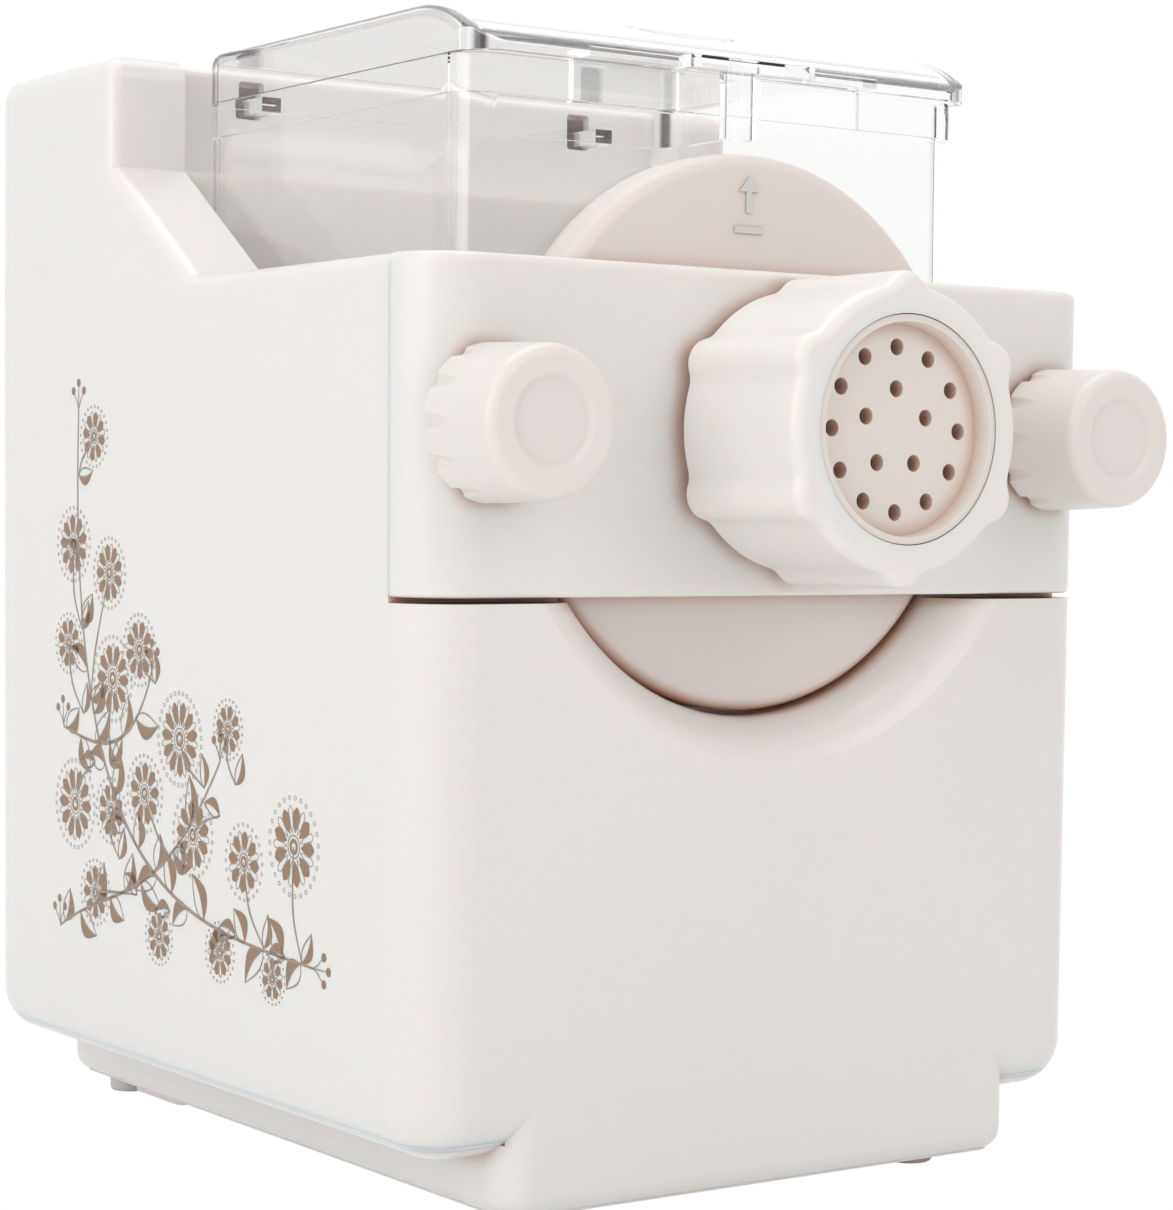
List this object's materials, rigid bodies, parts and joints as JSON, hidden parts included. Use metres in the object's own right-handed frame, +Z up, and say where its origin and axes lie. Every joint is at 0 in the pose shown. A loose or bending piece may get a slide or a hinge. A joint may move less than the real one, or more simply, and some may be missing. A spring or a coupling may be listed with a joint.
{
  "type": "electric pasta maker",
  "caption": "Electric pasta maker: tall moulded housing, clear mixing cup with hinged lid, geared motor, mixing screw, and a clamped front plate with extruder cover, die and ring nut.",
  "frame": {"origin": "on the table, under the middle of the overall box", "axes": "+Z up, the front with the die faces -Y, +X to the right of someone who faces the machine"},
  "size_m": [0.2014, 0.2719, 0.279],
  "materials": {
    "shell": "warm white moulded plastic, satin gloss",
    "trim": "warm white moulded plastic, satin",
    "clear": "clear plastic, polished",
    "steel": "plain steel",
    "laminations": "stacked steel sheets",
    "copper": "enamelled copper wire",
    "bronze": "sintered bronze",
    "die_cast": "die-cast light metal",
    "gear_plastic": "natural acetal",
    "grey_plastic": "grey moulded plastic",
    "dark_plastic": "black moulded plastic",
    "rubber": "pale rubber",
    "board": "printed circuit laminate",
    "lens": "clear light pipe"
  },
  "bodies": {
    "machine": {"main_housing": "shell", "clamp_studs": "steel", "mixing_cup": "clear", "shaft_seal": "rubber", "cup_cradle": "shell", "gearbox_housing": "die_cast", "gearbox_cover": "die_cast", "gearbox_screws": "steel", "output_bearings": "bronze", "intermediate_axle": "steel", "motor_stator": "laminations", "motor_windings": "copper", "motor_end_bells": "die_cast", "motor_bushes": "bronze", "motor_bolts": "steel", "base_cover": "trim", "base_screws": "steel", "feet": "rubber", "control_panel": "trim", "indicator_lens": "lens", "control_board": "board", "tact_switches": "dark_plastic", "lid_switch": "dark_plastic", "power_board": "board", "board_parts": "dark_plastic", "run_capacitor": "grey_plastic", "cord_bush": "dark_plastic"},
    "motor": {"motor_rotor": "laminations", "motor_fan": "dark_plastic", "motor_pinion": "steel"},
    "intermediate": {"intermediate_gear": "gear_plastic"},
    "drive_line": {"output_gear": "gear_plastic", "output_shaft": "steel", "mixing_screw": "trim"},
    "lid": {"lid": "clear"},
    "front_assembly": {"front_plate": "shell", "extruder_cover": "trim", "cover_seal": "rubber"},
    "die": {"die_plate": "trim"},
    "ring_nut": {"ring_nut": "trim"},
    "left_washer": {"knob_washer_left": "trim"},
    "left_knob": {"knob_left": "trim"},
    "right_washer": {"knob_washer_right": "trim"},
    "right_knob": {"knob_right": "trim"},
    "button_1": {"push_button_1": "grey_plastic"},
    "button_2": {"push_button_2": "grey_plastic"},
    "button_3": {"push_button_3": "grey_plastic"},
    "button_4": {"push_button_4": "grey_plastic"}
  },
  "joints": [
    {"name": "motor_spin", "type": "hinge", "parent": "machine", "child": "motor", "pos_m": [0, 0.03975, 0.0702], "axis": [0, -1, 0], "continuous": true},
    {"name": "intermediate_spin", "type": "hinge", "parent": "machine", "child": "intermediate", "pos_m": [0, 0.07775, 0.1242], "axis": [0, -1, 0], "continuous": true},
    {"name": "screw_spin", "type": "hinge", "parent": "machine", "child": "drive_line", "pos_m": [0, 0.03775, 0.1812], "axis": [0, -1, 0], "continuous": true},
    {"name": "lid_hinge", "type": "hinge", "parent": "machine", "child": "lid", "pos_m": [0, 0.07475, 0.268], "axis": [-1, 0, 0], "range_deg": [0, 40]},
    {"name": "front_slide", "type": "slide", "parent": "machine", "child": "front_assembly", "axis": [0, -1, 0], "range_m": [0, 0.07]},
    {"name": "nut_turn", "type": "hinge", "parent": "die", "child": "ring_nut", "pos_m": [0, -0.11225, 0.1812], "axis": [0, -1, 0], "range_deg": [0, 1080]},
    {"name": "die_slide", "type": "slide", "parent": "front_assembly", "child": "die", "axis": [0, -1, 0], "range_m": [0, 0.01801]},
    {"name": "left_knob_turn", "type": "hinge", "parent": "left_washer", "child": "left_knob", "pos_m": [-0.0832, -0.10525, 0.1812], "axis": [0, -1, 0], "range_deg": [0, 2520]},
    {"name": "left_knob_travel", "type": "slide", "parent": "front_assembly", "child": "left_washer", "axis": [0, -1, 0], "range_m": [0, 0.01401]},
    {"name": "right_knob_turn", "type": "hinge", "parent": "right_washer", "child": "right_knob", "pos_m": [0.0832, -0.10525, 0.1812], "axis": [0, -1, 0], "range_deg": [0, 2520]},
    {"name": "right_knob_travel", "type": "slide", "parent": "front_assembly", "child": "right_washer", "axis": [0, -1, 0], "range_m": [0, 0.01401]},
    {"name": "button_1_press", "type": "slide", "parent": "machine", "child": "button_1", "axis": [0, 0, -1], "range_m": [0, 0.0012], "stiffness_N_per_m": 500, "springref_m": -0.0006},
    {"name": "button_2_press", "type": "slide", "parent": "machine", "child": "button_2", "axis": [0, 0, -1], "range_m": [0, 0.0012], "stiffness_N_per_m": 500, "springref_m": -0.0006},
    {"name": "button_3_press", "type": "slide", "parent": "machine", "child": "button_3", "axis": [0, 0, -1], "range_m": [0, 0.0012], "stiffness_N_per_m": 500, "springref_m": -0.0006},
    {"name": "button_4_press", "type": "slide", "parent": "machine", "child": "button_4", "axis": [0, 0, -1], "range_m": [0, 0.0012], "stiffness_N_per_m": 500, "springref_m": -0.0006}
  ],
  "couplings": [
    {"joint": "intermediate_spin", "follows": "motor_spin", "ratio": -0.24138},
    {"joint": "screw_spin", "follows": "motor_spin", "ratio": 0.054505},
    {"joint": "die_slide", "follows": "nut_turn", "m_per_rad": 0.00095493},
    {"joint": "left_knob_turn", "follows": "left_knob_travel", "rad_per_m": 3141.6},
    {"joint": "right_knob_turn", "follows": "right_knob_travel", "rad_per_m": 3141.6}
  ]
}
